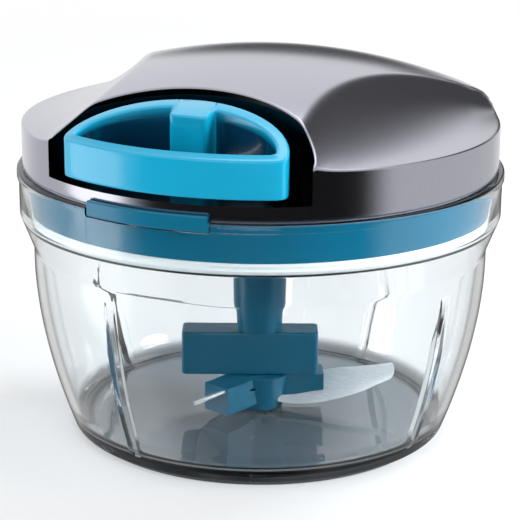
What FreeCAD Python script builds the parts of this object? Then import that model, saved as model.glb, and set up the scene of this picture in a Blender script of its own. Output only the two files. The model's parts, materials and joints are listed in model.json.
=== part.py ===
import FreeCAD, Part

import math
import os

from FreeCAD import Vector

# Pull-string food chopper, in millimetres.
# +Z is up, the pull handle faces -Y, and the origin is the middle of the foot, on the table.

# Bowl: a clear tub whose wall swells from foot to belly and steps out to a collar
foot_radius = 48.4
belly_radius = 58.6
belly_height = 46.0
bowl_swell = 1.8
bowl_wall = 2.2
bowl_floor = 2.2
bowl_height = 70.2
floor_corner = 4.5
collar_flare = 3.4
collar_wall = 1.8
collar_depth = 12.4
collar_step = 1.0
neck_drop = 8.0
lip_overhang = 0.5
lip_height = 2.0
rib_count = 4
rib_turn = -16.0
rib_width = 2.4
rib_depth = 1.8
rib_drop = 4.0

# Non-slip pad under the bowl
pad_inset = 1.7
pad_thickness = 1.5
pad_foot_width = 8.5
pad_recess = 0.4

# Steel pivot pin that stands in the bowl's boss
boss_radius = 4.2
boss_height = 6.4
pin_radius = 2.0
pin_height = 17.5
pin_sunk = 1.2

# Blade unit, seated on the pin
hub_lift = 0.6
boss_gap = 0.6
hub_height = 9.2
hub_top_radius = 8.4
hub_foot_radius = 6.4
lug_reach = 17.0
lug_width = 8.0
lug_height = 7.2
carrier_length = 36.0
carrier_width = 9.0
carrier_height = 11.5
carrier_offset = -2.5
carrier_turn = 22.6
carrier_round = 1.2
carrier_edge = 0.5
column_foot_radius = 5.9
column_top_radius = 7.6
socket_depth = 14.0
bush_wall = 2.0
blade_thickness = 1.0
lower_blade_length = 36.0
lower_blade_width = 12.0
left_blade_length = 26.0
upper_blade_length = 37.0
upper_blade_width = 9.5
blade_bow = 3.2
blade_tip = 0.55
blade_inset = 0.1
blade_flat = 4.0
lower_blade_rise = 1.5
upper_blade_rise = 6.0
lower_blade_lift = 4.6
upper_blade_lift = 8.0
lower_blade_pitch = 28.0
upper_blade_pitch = 20.0
right_blade_turn = 24.0
left_blade_turn = 252.0
upper_blade_turn = 204.0

# Lid base: floor, skirt that drops into the collar, and the locating tab
skirt_wall = 2.2
skirt_depth = 9.6
lid_floor_drop = 8.2
lid_floor = 2.0
spindle_boss_wall = 3.0
spigot_height = 1.7
tab_half_angle = 14.7
tab_turn = -3.3
tab_thickness = 2.9
tab_drop = 2.1
tab_rise = 1.7
tab_edge = 0.4
gasket_thickness = 1.5
gasket_height = 2.5
gasket_lip = 1.1

# Top cover: a shallow dome with a side wall, two finger scoops and the handle's pocket
cover_inset = 1.0
cover_wall = 2.2
cover_side = 12.4
dome_rise = 28.8
dome_fall = 13.0
cover_round = 2.8
scoop_drop = 11.8
ridge_half_width = 32.3
ridge_setback = 24.4
ridge_curve_radius = 278.0
scoop_least = 6.0
scoop_reach = 4.0
pocket_half_width = 34.0
pocket_length = 19.3
pocket_lead = 1.3
pocket_wall = 2.0
pocket_floor = 2.0
pocket_drop = 4.0

# Pull handle: a D-shaped loop that fills the pocket's mouth
handle_half_width = 28.8
handle_length = 16.6
handle_wall = 3.2
handle_sink = 1.0
handle_float = 1.4
handle_corner = 1.5
handle_edge = 0.5
post_width = 10.0
post_depth = 4.6
knot_radius = 2.2

# Cord and its drum
cord_diameter = 1.8
drum_core_radius = 15.0
drum_flange_radius = 25.0
drum_flange = 1.8
drum_lift = 1.6
cup_floor = 1.35
cup_depth = 5.6
cup_wall = 2.5
wound_turns = 4
eyelet_wall = 1.4
eyelet_flange = 1.2
eyelet_flange_depth = 1.0
cord_start_gap = 3.2
cord_bend = 2.0

# Recoil spring: a flat strip wound in half turns from the arbor out to the cup
spring_thickness = 0.4
spring_half_turns = 16
arbor_radius = 5.2
spring_cover_thickness = 0.8
spring_cover_gap = 1.0
axle_boss_radius = 5.5

# Ratchet and output spindle
axle_radius = 2.5
ratchet_teeth = 12
ratchet_radius = 12.0
ratchet_tooth = 2.6
ratchet_thickness = 4.0
tooth_land = 0.6
pawl_pin_radius = 1.4
pawl_foot_radius = 2.6
pawl_foot_thickness = 0.5
pin_skin = 0.4
pawl_pitch_radius = 18.5
pawl_eye_radius = 3.2
pawl_thickness = 3.0
pawl_lead = 46.0
pawl_gap = 0.35
spindle_radius = 6.0
spindle_bush_wall = 2.0
spindle_bush_flange = 1.0
spindle_bush_rim = 2.0
spindle_bush_length = 6.0
spindle_bush_rise = 3.0
journal_tail = 0.7
spindle_flats = 8.0
washer_thickness = 0.5
washer_rim = 1.5
clip_thickness = 0.8
clip_rim = 2.2
clip_sink = 0.7
clip_mouth = 0.55

# Case screws, driven up from under the lid's floor
screw_angles = (62.0, 138.0, 222.0, 298.0)
screw_inset = 11.3
screw_radius = 1.5
screw_head_radius = 2.9
screw_head = 1.8
screw_length = 15.0
screw_post_radius = 4.0
screw_post_height = 7.0
slot_width = 0.8
slot_length = 4.0
slot_depth = 0.9

# Clearances
running_gap = 0.08
skirt_gap = 0.7
seal_gap = 0.3
face_gap = 0.3
side_gap = 0.5
socket_gap = 0.3
cord_gap = 0.7
clip_gap = 0.6
end_gap = 0.9
column_gap = 0.9
axle_gap = 0.5
overrun = 20.0

# Levels worked out from the sizes above
pad_radius = foot_radius - pad_inset
collar_radius = belly_radius + collar_flare
cover_radius = collar_radius - cover_inset
floor_top = pad_thickness + bowl_floor
ledge_level = bowl_height - collar_depth
neck_level = ledge_level - neck_drop
collar_bore = collar_radius - collar_wall
lip_radius = collar_radius + lip_overhang
skirt_radius = collar_bore - skirt_gap
skirt_bore = skirt_radius - skirt_wall
skirt_bottom = bowl_height - skirt_depth
screw_circle_radius = skirt_bore - screw_inset
lid_floor_level = bowl_height - lid_floor_drop
lid_floor_top = lid_floor_level + lid_floor
dome_top = bowl_height + dome_rise
dome_radius = (cover_radius ** 2 + dome_fall ** 2) / (2 * dome_fall)
scoop_level = bowl_height + scoop_drop
pocket_level = bowl_height + pocket_drop
hub_bottom = floor_top + hub_lift
carrier_bottom = hub_bottom + hub_height
carrier_top = carrier_bottom + carrier_height
pin_top = floor_top + pin_height
bush_radius = pin_radius + running_gap + bush_wall
hub_bore = boss_radius + boss_gap
blade_root = hub_bore + blade_inset
spindle_bush_radius = spindle_radius + running_gap + spindle_bush_wall
spindle_bush_top = lid_floor_top + spindle_bush_rise
spindle_bush_bottom = spindle_bush_top - spindle_bush_length
spindle_clip_bottom = spindle_bush_bottom - face_gap - clip_thickness
column_top = spindle_clip_bottom - column_gap
washer_bottom = spindle_bush_top + spindle_bush_flange
ratchet_bottom = washer_bottom + washer_thickness
ratchet_top = ratchet_bottom + ratchet_thickness
axle_clip_bottom = ratchet_top + clip_gap
axle_top = dome_top - cover_wall - axle_gap
pawl_bottom = ratchet_bottom + (ratchet_thickness - pawl_thickness) / 2
drum_bottom = ratchet_top + drum_lift
groove_bottom = drum_bottom + drum_flange
groove_top = groove_bottom + (wound_turns + 1) * cord_diameter + 2 * face_gap
cup_bottom = groove_top + cup_floor
cup_top = cup_bottom + cup_depth
spring_cover_top = cup_top + spring_cover_thickness
cord_level = groove_bottom + (wound_turns + 0.5) * cord_diameter + face_gap
pitch_radius = drum_core_radius + cord_diameter / 2
ridge_waist = ridge_setback - cover_radius
handle_centre = -math.sqrt(cover_radius ** 2 - handle_half_width ** 2)
pocket_centre = handle_centre + pocket_lead
pocket_back = pocket_centre + pocket_length
handle_back = handle_centre + handle_length
post_front = handle_back - handle_wall - post_depth
knot_end = post_front + 2 * knot_radius + face_gap
knot_centre = knot_end - knot_radius


def disc(radius, low, high, x=0.0, y=0.0):
    return Part.makeCylinder(radius, high - low, Vector(x, y, low))


def ring(outer, inner, low, high, x=0.0, y=0.0):
    return disc(outer, low, high, x, y).cut(disc(inner, low - 1, high + 1, x, y))


def rod(radius, start, end, x, z):
    # a cylinder along Y
    return Part.makeCylinder(radius, end - start, Vector(x, start, z), Vector(0, 1, 0))


def block(low, high):
    return Part.makeBox(high[0] - low[0], high[1] - low[1], high[2] - low[2], Vector(*low))


def turned(edges):
    # a solid of revolution about Z from a closed outline in the XZ plane
    face = Part.Face(Part.Wire(Part.__sortEdges__(edges)))
    return face.revolve(Vector(0, 0, 0), Vector(0, 0, 1), 360)


def line(start, end):
    return Part.LineSegment(Vector(start[0], 0, start[1]), Vector(end[0], 0, end[1])).toShape()


def arc(start, middle, end):
    places = [Vector(p[0], 0, p[1]) for p in (start, middle, end)]
    return Part.Arc(*places).toShape()


def curve(places):
    smooth = Part.BSplineCurve()
    smooth.interpolate([Vector(r, 0, z) for r, z in places])
    return smooth.toShape()


def joined(solids):
    whole = solids[0].fuse(solids[1:])
    return whole.removeSplitter()


def spun(shape, angle):
    copy = shape.copy()
    copy.rotate(Vector(0, 0, 0), Vector(0, 0, 1), angle)
    return copy


def around(radius, angle):
    # the angle is counted from the handle's side, -Y, towards +X
    turn = math.radians(angle)
    return radius * math.sin(turn), -radius * math.cos(turn)


def sector(outer, inner, low, high, half_angle):
    # the slice of a ring that lies within half_angle of -Y
    front = outer + overrun
    side = front * math.tan(math.radians(half_angle))
    corners = [Vector(0, 0, low), Vector(-side, -front, low), Vector(side, -front, low)]
    wedge = Part.Face(Part.makePolygon(corners + corners[:1])).extrude(Vector(0, 0, high - low))
    return ring(outer, inner, low, high).common(wedge)


def rounded(solid, radius, picked):
    # fillets the edges whose box passes the test
    return solid.makeFillet(radius, [edge for edge in solid.Edges if picked(edge.BoundBox)])


def upright(box):
    return box.XLength < 0.01 and box.YLength < 0.01


def hexagon(flats, low, high):
    corner = flats / 2 / math.cos(math.radians(30))
    corners = [Vector(corner * math.cos(math.radians(60 * k)), corner * math.sin(math.radians(60 * k)), low)
               for k in range(6)]
    return Part.Face(Part.makePolygon(corners + corners[:1])).extrude(Vector(0, 0, high - low))


def bowl_radius(level):
    # the wall's outer radius swells as a power of the height left to the belly
    left = max(0.0, 1 - level / belly_height)
    return belly_radius - (belly_radius - foot_radius) * left ** bowl_swell


def wall_places(low, high, inset):
    steps = 8
    levels = [low + (high - low) * k / steps for k in range(steps + 1)]
    return [(bowl_radius(z) - inset, z) for z in levels]


def bowl_hollow(inset):
    # the space inside the bowl, drawn in by inset from its outer wall
    start = floor_top + floor_corner
    wall = wall_places(start, neck_level, inset)
    low_radius = wall[0][0]
    bend = floor_corner * (1 - math.sqrt(0.5))
    inner_floor = (low_radius - floor_corner, floor_top)
    ledge_inner = collar_bore - gasket_thickness - gasket_lip
    mouth = (ledge_inner + bowl_wall - inset, ledge_level)
    return turned([
        line((0, floor_top), inner_floor),
        arc(inner_floor, (low_radius - bend, floor_top + bend), wall[0]),
        curve(wall),
        line(wall[-1], mouth),
        line(mouth, (0, ledge_level)),
        line((0, ledge_level), (0, floor_top)),
    ])


def make_bowl():
    wall = wall_places(pad_thickness, neck_level, 0)
    step = (collar_radius, ledge_level + collar_step)
    rim = bowl_height - lip_height
    outline = [(collar_radius, rim), (lip_radius, rim), (lip_radius, bowl_height), (0, bowl_height),
               (0, pad_thickness), wall[0]]
    edges = [curve(wall), line(wall[-1], step), line(step, outline[0])]
    edges += [line(a, b) for a, b in zip(outline, outline[1:])]
    body = turned(edges)
    hollow = bowl_hollow(bowl_wall)
    body = body.cut(hollow).cut(disc(collar_bore, ledge_level, bowl_height + 1))
    core = bowl_hollow(bowl_wall + rib_depth)
    rib_zone = hollow.cut(core)
    bar = block((-rib_width / 2, -belly_radius, floor_top + 1), (rib_width / 2, 0, neck_level - rib_drop))
    bar = bar.cut(disc(foot_radius - bowl_wall - floor_corner - rib_depth, floor_top, bowl_height))
    ribs = [spun(bar, rib_turn + 360 * k / rib_count).common(rib_zone) for k in range(rib_count)]
    boss = disc(boss_radius, floor_top - 1, floor_top + boss_height)
    body = joined([body, boss] + ribs)
    body = body.cut(disc(pin_radius, floor_top - pin_sunk, floor_top + boss_height + 1))
    notch_half = tab_half_angle + math.degrees(side_gap / collar_radius)
    notch = sector(lip_radius + 1, collar_bore - 1, bowl_height - tab_drop - face_gap, bowl_height + 1, notch_half)
    return body.cut(spun(notch, tab_turn))


def make_pad():
    pad = disc(pad_radius, 0, pad_thickness)
    return pad.cut(disc(pad_radius - pad_foot_width, -1, pad_recess))


def make_pivot_pin():
    shank = disc(pin_radius, floor_top - pin_sunk, pin_top - pin_radius)
    return joined([shank, Part.makeSphere(pin_radius, Vector(0, 0, pin_top - pin_radius))])


def blade_outline(length, width):
    # a sickle in plan, pointing along +X, with its cutting edge bowed out on the clockwise side and a blunt tip
    half = width / 2
    root_edge = Vector(blade_root, -half, 0)
    root_back = Vector(blade_root, half * 0.8, 0)
    tip_edge = Vector(length - half * blade_tip, half * (1 - 2 * blade_tip), 0)
    tip_back = Vector(length, half, 0)
    edge_middle = (root_edge + tip_edge) * 0.5 - Vector(0, blade_bow, 0)
    back_middle = (root_back + tip_back) * 0.5 - Vector(0, blade_bow * 0.3, 0)
    tip_middle = (tip_edge + tip_back) * 0.5 + Vector(half * 0.25, -half * 0.2, 0)
    edges = [Part.Arc(root_edge, edge_middle, tip_edge).toShape(),
             Part.Arc(tip_edge, tip_middle, tip_back).toShape(),
             Part.Arc(tip_back, back_middle, root_back).toShape(),
             Part.LineSegment(root_back, root_edge).toShape()]
    return Part.Face(Part.Wire(edges))


def make_blade(length, width, level, rise, pitch, turn):
    # the plan's outline cut from a strip that climbs from root to tip, then pitched with its cutting edge down
    plan = blade_outline(length, width)
    plan.translate(Vector(0, 0, level - overrun))
    prism = plan.extrude(Vector(0, 0, rise + 2 * overrun))
    places = [(blade_root - 1, level), (blade_root + blade_flat, level), (length * 0.42, level + rise * 0.62),
              (length * 0.62, level + rise * 0.9), (length + 1, level + rise)]
    low_edge = curve(places)
    high_edge = curve([(x, z + blade_thickness) for x, z in places])
    ends = [line(places[0], (places[0][0], level + blade_thickness)),
            line(places[-1], (places[-1][0], level + rise + blade_thickness))]
    strip = Part.Face(Part.Wire(Part.__sortEdges__([low_edge, high_edge] + ends)))
    strip.translate(Vector(0, -width * 2, 0))
    strip = strip.extrude(Vector(0, width * 4, 0))
    blade = prism.common(strip)
    blade.rotate(Vector(0, 0, level), Vector(1, 0, 0), pitch)
    return spun(blade, turn)


def make_blades():
    lower = hub_bottom + lower_blade_lift
    upper = carrier_top + upper_blade_lift
    return {
        "right_blade": make_blade(lower_blade_length, lower_blade_width, lower, lower_blade_rise,
                                  lower_blade_pitch, right_blade_turn),
        "left_blade": make_blade(left_blade_length, lower_blade_width, lower, lower_blade_rise,
                                 lower_blade_pitch, left_blade_turn),
        "upper_blade": make_blade(upper_blade_length, upper_blade_width, upper, upper_blade_rise,
                                  upper_blade_pitch, upper_blade_turn),
    }


def make_blade_column(blades):
    cross = block((carrier_offset - carrier_length / 2, -carrier_width / 2, carrier_bottom),
                  (carrier_offset + carrier_length / 2, carrier_width / 2, carrier_top))
    cross = rounded(cross, carrier_round, upright)
    cross = rounded(cross, carrier_edge, lambda box: box.ZLength < 0.01)
    cross = spun(cross, carrier_turn)
    column = Part.makeCone(column_foot_radius, column_top_radius, column_top - carrier_top, Vector(0, 0, carrier_top))
    body = joined([cross, column])
    body = body.cut(hexagon(spindle_flats + 2 * socket_gap, column_top - socket_depth, column_top + 1))
    body = body.cut(disc(bush_radius, carrier_bottom - 1, pin_top + face_gap))
    return body.cut(blades["upper_blade"])


def make_lower_hub(blades):
    core = Part.makeCone(hub_foot_radius, hub_top_radius, hub_height, Vector(0, 0, hub_bottom))
    lug = block((0, -lug_width / 2, carrier_bottom - lug_height), (lug_reach, lug_width / 2, carrier_bottom))
    lugs = [spun(lug, right_blade_turn), spun(lug, left_blade_turn)]
    hub = joined([core] + lugs)
    hub = hub.cut(disc(hub_bore, hub_bottom - 1, carrier_bottom + 1))
    return hub.cut(blades["right_blade"]).cut(blades["left_blade"])


def make_pivot_bush():
    return ring(bush_radius, pin_radius + running_gap, carrier_bottom, pin_top)


def make_lid_base():
    skirt = ring(skirt_radius, skirt_bore, skirt_bottom, bowl_height)
    lip = ring(skirt_radius - gasket_thickness + seal_gap, skirt_bore, skirt_bottom - gasket_height + face_gap * 2,
               skirt_bottom)
    spigot = ring(cover_radius - cover_wall, skirt_bore, bowl_height, bowl_height + spigot_height)
    floor = disc(skirt_bore, lid_floor_level, lid_floor_top)
    tab = sector(skirt_radius + tab_thickness, cover_radius - cover_wall, bowl_height - tab_drop,
                 bowl_height + tab_rise, tab_half_angle)
    tab = rounded(tab, tab_edge, lambda box: box.YMin < -cover_radius and not upright(box))
    tab = spun(tab, tab_turn)
    boss = disc(spindle_bush_radius + spindle_boss_wall, spindle_bush_bottom, spindle_bush_top)
    places = [around(screw_circle_radius, angle) for angle in screw_angles]
    posts = [disc(screw_post_radius, lid_floor_level, lid_floor_top + screw_post_height, x, y) for x, y in places]
    body = joined([skirt, lip, spigot, floor, tab, boss] + posts)
    body = body.cut(disc(spindle_bush_radius, spindle_bush_bottom - 1, spindle_bush_top + 1))
    for x, y in places:
        body = body.cut(disc(screw_radius, lid_floor_level, lid_floor_top + screw_post_height + 1, x, y))
        body = body.cut(disc(screw_head_radius + face_gap, lid_floor_level - 1,
                             lid_floor_level + screw_head + face_gap, x, y))
    return body


def make_gasket():
    outer = collar_bore - seal_gap
    return ring(outer, skirt_radius - gasket_thickness + seal_gap, skirt_bottom - gasket_height, skirt_bottom)


def dome_level(x, y, sink=0.0):
    # a sphere of dome_radius whose top is sunk by sink
    return dome_top - sink - dome_radius + math.sqrt(dome_radius ** 2 - x * x - y * y)


def dome_solid(inset, sink, low):
    # the cover's outer form, drawn in by inset at the side and lowered by sink
    radius = cover_radius - inset
    shoulder = bowl_height + cover_side - sink
    edge = radius - cover_round
    top_edge = (edge, dome_level(edge, 0, sink))
    bulge = (radius - cover_round * 0.25, shoulder + (top_edge[1] - shoulder) * 0.62)
    middle = (edge / 2, dome_level(edge / 2, 0, sink))
    peak = (0, dome_top - sink)
    return turned([
        line((0, low), (radius, low)),
        line((radius, low), (radius, shoulder)),
        arc((radius, shoulder), bulge, top_edge),
        arc(top_edge, middle, peak),
        line(peak, (0, low)),
    ])


def ridge_edge(y):
    # where the ridge meets a scoop: an arc of ridge_curve_radius about its waist
    return ridge_half_width + (y - ridge_waist) ** 2 / (2 * ridge_curve_radius)


def scoop_row(y, sink):
    # one line of the scoop across X: a parabola that drops from the ridge and lands level at the rim
    start = ridge_edge(y)
    rim = math.sqrt(max(cover_radius ** 2 - y * y, 0.0))
    free = rim - start
    width = (free + math.hypot(free, 2 * scoop_least)) / 2
    drop = dome_level(start, min(abs(y), cover_radius * 0.85)) - scoop_level
    shares = [-0.3 + 0.13 * k for k in range(11)]
    places = [(start + s * width, scoop_level + drop * (1 - s) ** 2) for s in shares if s <= 1.0]
    places.append((start + width * 1.3 + overrun, scoop_level))
    return [Vector(x, y, z - sink) for x, z in places]


def scoop_tool(sink):
    rows = 13
    reach = cover_radius + scoop_reach
    grid = [scoop_row(-reach + 2 * reach * k / (rows - 1), sink) for k in range(rows)]
    surface = Part.BSplineSurface()
    surface.interpolate(grid)
    right = surface.toShape().extrude(Vector(0, 0, dome_rise * 2))
    left = right.mirror(Vector(0, 0, 0), Vector(1, 0, 0))
    return [right, left]


def arch(half_width, length, centre, low, high):
    # a tall block whose plan is half an ellipse at the back and straight sides to the front
    middle = Vector(0, centre, low)
    back = Vector(0, centre + length, low)
    right = Vector(half_width, centre, low)
    left = Vector(-half_width, centre, low)
    if half_width >= length:
        bend = Part.Ellipse(right, back, middle).toShape(0, math.pi)
    else:
        bend = Part.Ellipse(back, left, middle).toShape(-math.pi / 2, math.pi / 2)
    front = Vector(0, -cover_radius - overrun - centre, 0)
    corners = [left, left + front, right + front, right]
    edges = [bend] + [Part.LineSegment(a, b).toShape() for a, b in zip(corners, corners[1:])]
    return Part.Face(Part.Wire(edges)).extrude(Vector(0, 0, high - low))


def make_top_cover(eyelet_seat):
    outer = dome_solid(0, 0, bowl_height)
    inner = dome_solid(cover_wall, cover_wall, bowl_height - 1)
    for tool in scoop_tool(0):
        outer = outer.cut(tool)
    for tool in scoop_tool(cover_wall):
        inner = inner.cut(tool)
    shell = outer.cut(inner)
    high = dome_top + 1
    housing = arch(pocket_half_width + pocket_wall, pocket_length + pocket_wall, pocket_centre,
                   pocket_level - pocket_floor, high)
    places = [around(screw_circle_radius, angle) for angle in screw_angles]
    post_top = lid_floor_top + screw_post_height
    posts = [disc(screw_post_radius, post_top, high, x, y) for x, y in places]
    axle_boss = disc(axle_boss_radius, spring_cover_top + face_gap, high)
    inside = [piece.common(outer) for piece in [housing, axle_boss] + posts]
    body = joined([shell] + inside)
    body = body.cut(arch(pocket_half_width, pocket_length, pocket_centre, pocket_level, high))
    notch_half = tab_half_angle + math.degrees(running_gap / cover_radius)
    notch = sector(cover_radius + 1, cover_radius - cover_wall, bowl_height - 1,
                   bowl_height + tab_rise + running_gap, notch_half)
    body = body.cut(spun(notch, tab_turn)).cut(disc(axle_radius, spring_cover_top, axle_top))
    for x, y in places:
        body = body.cut(disc(screw_radius, post_top - 1, lid_floor_level + screw_head + face_gap + screw_length, x, y))
    return body.cut(eyelet_seat)


def make_case_screws():
    screws = []
    for angle in screw_angles:
        x, y = around(screw_circle_radius, angle)
        low = lid_floor_level + face_gap
        head = disc(screw_head_radius, low, low + screw_head, x, y)
        for wide, deep in ((slot_width / 2, slot_length / 2), (slot_length / 2, slot_width / 2)):
            head = head.cut(block((x - wide, y - deep, low - 1), (x + wide, y + deep, low + slot_depth)))
        shank = disc(screw_radius, low + screw_head, low + screw_head + screw_length, x, y)
        screws.append(joined([head, shank]))
    return Part.makeCompound(screws)


def eyelet_envelope():
    outer = cord_diameter / 2 + cord_gap + eyelet_wall
    barrel = rod(outer, pocket_back - eyelet_flange_depth, pocket_back + pocket_wall + eyelet_flange_depth, 0,
                 cord_level)
    flange = rod(outer + eyelet_flange, pocket_back - eyelet_flange_depth, pocket_back, 0, cord_level)
    return joined([barrel, flange])


def make_eyelet():
    bore = cord_diameter / 2 + cord_gap
    return eyelet_envelope().cut(rod(bore, pocket_back - overrun, pocket_back + overrun, 0, cord_level))


def make_handle():
    # the top follows the dome a little below it, out to a crisp front edge
    low = pocket_level + handle_float
    ball = Part.makeSphere(dome_radius, Vector(0, 0, dome_top - handle_sink - dome_radius))
    form = disc(cover_radius, low, dome_top).common(ball)
    hole = arch(handle_half_width - handle_wall, handle_length - handle_wall, handle_centre, low - 1, dome_top)
    hole = hole.common(disc(cover_radius - handle_wall, low - 1, dome_top))
    outer = arch(handle_half_width, handle_length, handle_centre, low, dome_top)
    post = block((-post_width / 2, post_front, low), (post_width / 2, handle_back - handle_wall / 2, dome_top))
    loop = joined([outer.cut(hole), post]).common(form)
    loop = rounded(loop, handle_corner, lambda box: upright(box) and box.YMin < handle_centre + side_gap)
    rims = [edge for edge in loop.Edges if not upright(edge.BoundBox)
            and (edge.BoundBox.ZLength < 0.01 or edge.BoundBox.ZMin > low + handle_corner)]
    loop = loop.makeChamfer(handle_edge, rims)
    loop = loop.cut(rod(cord_diameter / 2 + face_gap, post_front - 1, handle_back + 1, 0, cord_level))
    return loop.cut(rod(knot_radius + face_gap, post_front - 1, knot_end, 0, cord_level))


def make_knot():
    # it bears on the end of its pocket in the handle's post
    knot = Part.makeSphere(knot_radius, Vector(0, knot_centre, cord_level))
    return knot.cut(rod(cord_diameter / 2, knot_centre, handle_back, 0, cord_level))


def make_cord():
    # from the drum's tangent point, through the eyelet, to the knot in the handle
    mouth = Vector(0, pocket_back + pocket_wall + eyelet_flange_depth, cord_level)
    leave_y = pitch_radius ** 2 / mouth.y
    leave = Vector(math.sqrt(pitch_radius ** 2 - leave_y ** 2), leave_y, cord_level)
    run = mouth - leave
    start = leave + run * (cord_start_gap / run.Length)
    before = mouth - run * (cord_bend / run.Length)
    after = mouth + Vector(0, -cord_bend, 0)
    bend_tangent = run * (1 / run.Length)
    middle = bend_middle(before, bend_tangent, after, Vector(0, -1, 0))
    path = Part.Wire([Part.LineSegment(start, before).toShape(), Part.Arc(before, middle, after).toShape(),
                      Part.LineSegment(after, Vector(0, knot_centre, cord_level)).toShape()])
    section = Part.Wire([Part.Circle(start, bend_tangent, cord_diameter / 2).toShape()])
    return path.makePipeShell([section], True, False)


def bend_middle(start, start_way, end, end_way):
    # the middle of the arc that leaves start along start_way and arrives at end along end_way
    corner = (start + end) * 0.5
    turn = start_way.getAngle(end_way)
    chord = (end - start).Length
    sagitta = chord / 2 * math.tan(turn / 4)
    outward = (start_way - end_way).normalize()
    return corner + outward * sagitta


def make_drum():
    pieces = [
        disc(drum_flange_radius, drum_bottom, groove_bottom),
        disc(drum_core_radius, groove_bottom, groove_top),
        disc(drum_flange_radius, groove_top, cup_bottom),
        ring(drum_flange_radius, drum_flange_radius - cup_wall, cup_bottom, cup_top),
    ]
    drum = joined(pieces)
    drum = drum.cut(disc(axle_radius + running_gap, drum_bottom - 1, cup_bottom + 1))
    for turn in (0, 180):
        x, y = pawl_place(turn)
        drum = drum.cut(disc(pawl_pin_radius, drum_bottom - 1, groove_bottom - pin_skin, x, y))
    return drum


def make_winding():
    outer = drum_core_radius + cord_diameter
    return ring(outer, drum_core_radius, groove_bottom, groove_bottom + wound_turns * cord_diameter)


def spiral_side(start, pitch, shift, low):
    # half turns about two centres half a pitch apart, so that each meets the next smoothly
    edges = []
    for k in range(spring_half_turns):
        centre = Vector(pitch / 4 * (1 if k % 2 else -1), 0, low)
        first = math.pi if k % 2 else 0
        circle = Part.Circle(centre, Vector(0, 0, 1), start + pitch / 4 + pitch / 2 * k + shift)
        edges.append(Part.ArcOfCircle(circle, first, first + math.pi).toShape())
    return edges


def make_spring():
    start = arbor_radius + spring_thickness / 2
    end = drum_flange_radius - cup_wall - face_gap - spring_thickness / 2
    pitch = (end - start) / spring_half_turns * 2
    low = cup_bottom + face_gap
    inner = spiral_side(start, pitch, -spring_thickness / 2, low)
    outer = spiral_side(start, pitch, spring_thickness / 2, low)
    ends = [Part.LineSegment(inner[k].Vertexes[k].Point, outer[k].Vertexes[k].Point).toShape() for k in (0, -1)]
    wire = Part.Wire(Part.__sortEdges__(inner + outer + ends))
    return Part.Face(wire).extrude(Vector(0, 0, cup_top - face_gap - low))


def make_arbor():
    return ring(arbor_radius, axle_radius, cup_bottom + face_gap, spring_cover_top + face_gap)


def make_spring_cover():
    return ring(drum_flange_radius, arbor_radius + spring_cover_gap, cup_top, spring_cover_top)


def make_axle():
    axle = disc(axle_radius, ratchet_bottom + axle_gap, axle_top)
    groove = ring(axle_radius + 1, axle_radius - clip_sink, axle_clip_bottom, axle_clip_bottom + clip_thickness)
    return axle.cut(groove)


def make_clip(shaft, low):
    # a retaining ring with its mouth towards -Y
    whole = ring(shaft - clip_sink + clip_rim, shaft - clip_sink, low, low + clip_thickness)
    mouth = shaft * clip_mouth
    return whole.cut(block((-mouth, -shaft * 3, low - 1), (mouth, 0, low + clip_thickness + 1)))


def make_spindle():
    corners = []
    step = 360 / ratchet_teeth
    for k in range(ratchet_teeth):
        for radius, angle in ((ratchet_radius - ratchet_tooth, k * step), (ratchet_radius, (k + 1) * step - tooth_land)):
            corners.append(Vector(radius * math.cos(math.radians(angle)), radius * math.sin(math.radians(angle)),
                                  ratchet_bottom))
    wheel = Part.Face(Part.makePolygon(corners + corners[:1])).extrude(Vector(0, 0, ratchet_thickness))
    journal_bottom = spindle_clip_bottom - journal_tail
    journal = disc(spindle_radius, journal_bottom, ratchet_bottom)
    drive = hexagon(spindle_flats, column_top - socket_depth + end_gap, journal_bottom)
    body = joined([wheel, journal, drive])
    body = body.cut(disc(axle_radius + running_gap, ratchet_bottom, ratchet_top + 1))
    groove = ring(spindle_radius + 1, spindle_radius - clip_sink, spindle_clip_bottom,
                  spindle_clip_bottom + clip_thickness)
    return body.cut(groove)


def make_spindle_bush():
    barrel = disc(spindle_bush_radius, spindle_bush_bottom, spindle_bush_top)
    flange = disc(spindle_bush_radius + spindle_bush_rim, spindle_bush_top, washer_bottom)
    return joined([barrel, flange]).cut(disc(spindle_radius + running_gap, spindle_bush_bottom - 1, washer_bottom + 1))


def make_washer():
    return ring(spindle_bush_radius + washer_rim, spindle_radius, washer_bottom, ratchet_bottom)


def pawl_place(turn):
    angle = math.radians(turn + pawl_lead)
    return pawl_pitch_radius * math.cos(angle), pawl_pitch_radius * math.sin(angle)


def make_pawl(turn):
    # an arm from its pin to the steep face of a tooth, which it pushes clockwise
    low = pawl_bottom
    pin_x, pin_y = pawl_place(0)
    crest_turn = math.radians(360 / ratchet_teeth - tooth_land)
    crest = (ratchet_radius + pawl_gap) * Vector(math.cos(crest_turn), math.sin(crest_turn), 0)
    outline = [
        Vector(ratchet_radius - ratchet_tooth + 1.5 * pawl_gap, pawl_gap, 0),
        Vector(ratchet_radius + pawl_gap, pawl_gap, 0),
        Vector(pin_x + pawl_eye_radius * 0.9, pin_y - pawl_eye_radius * 0.4, 0),
        Vector(pin_x - pawl_eye_radius * 0.6, pin_y, 0),
        crest,
    ]
    arm = Part.Face(Part.makePolygon(outline + outline[:1]))
    arm.translate(Vector(0, 0, low))
    arm = arm.extrude(Vector(0, 0, pawl_thickness))
    pawl = joined([arm, disc(pawl_eye_radius, low, low + pawl_thickness, pin_x, pin_y)])
    pawl = pawl.cut(disc(pawl_pin_radius + running_gap, low - 1, low + pawl_thickness + 1, pin_x, pin_y))
    return spun(pawl, turn)


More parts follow.
